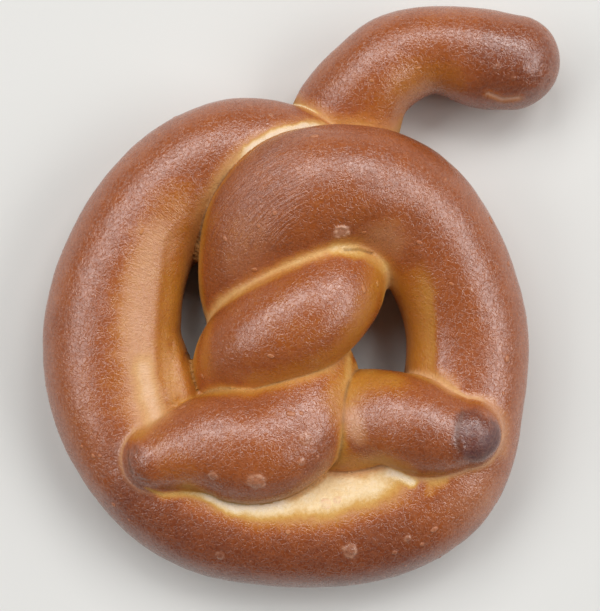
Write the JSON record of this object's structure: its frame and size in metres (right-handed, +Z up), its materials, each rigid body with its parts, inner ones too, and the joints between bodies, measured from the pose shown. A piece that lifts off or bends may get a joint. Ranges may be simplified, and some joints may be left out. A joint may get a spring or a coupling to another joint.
{
  "type": "pretzel",
  "caption": "Soft pretzel: a fat ring of browned dough, crossed and twisted in the middle, with both ends pressed on the ring and a curved stem tucked under the top.",
  "frame": {"origin": "centre of the bounding box at its bottom, on the surface the pretzel lies on", "axes": "+Z up out of the flat underside, +Y from the ring's plain lower side towards the stem, +X to the right seen from above"},
  "size_m": [0.1415, 0.1589, 0.0416],
  "materials": {
    "crust": "satin browned bread crust, mahogany on top, ochre on the inner walls and cream in the seams"
  },
  "bodies": {
    "root": {"pretzel": "crust"}
  },
  "joints": []
}
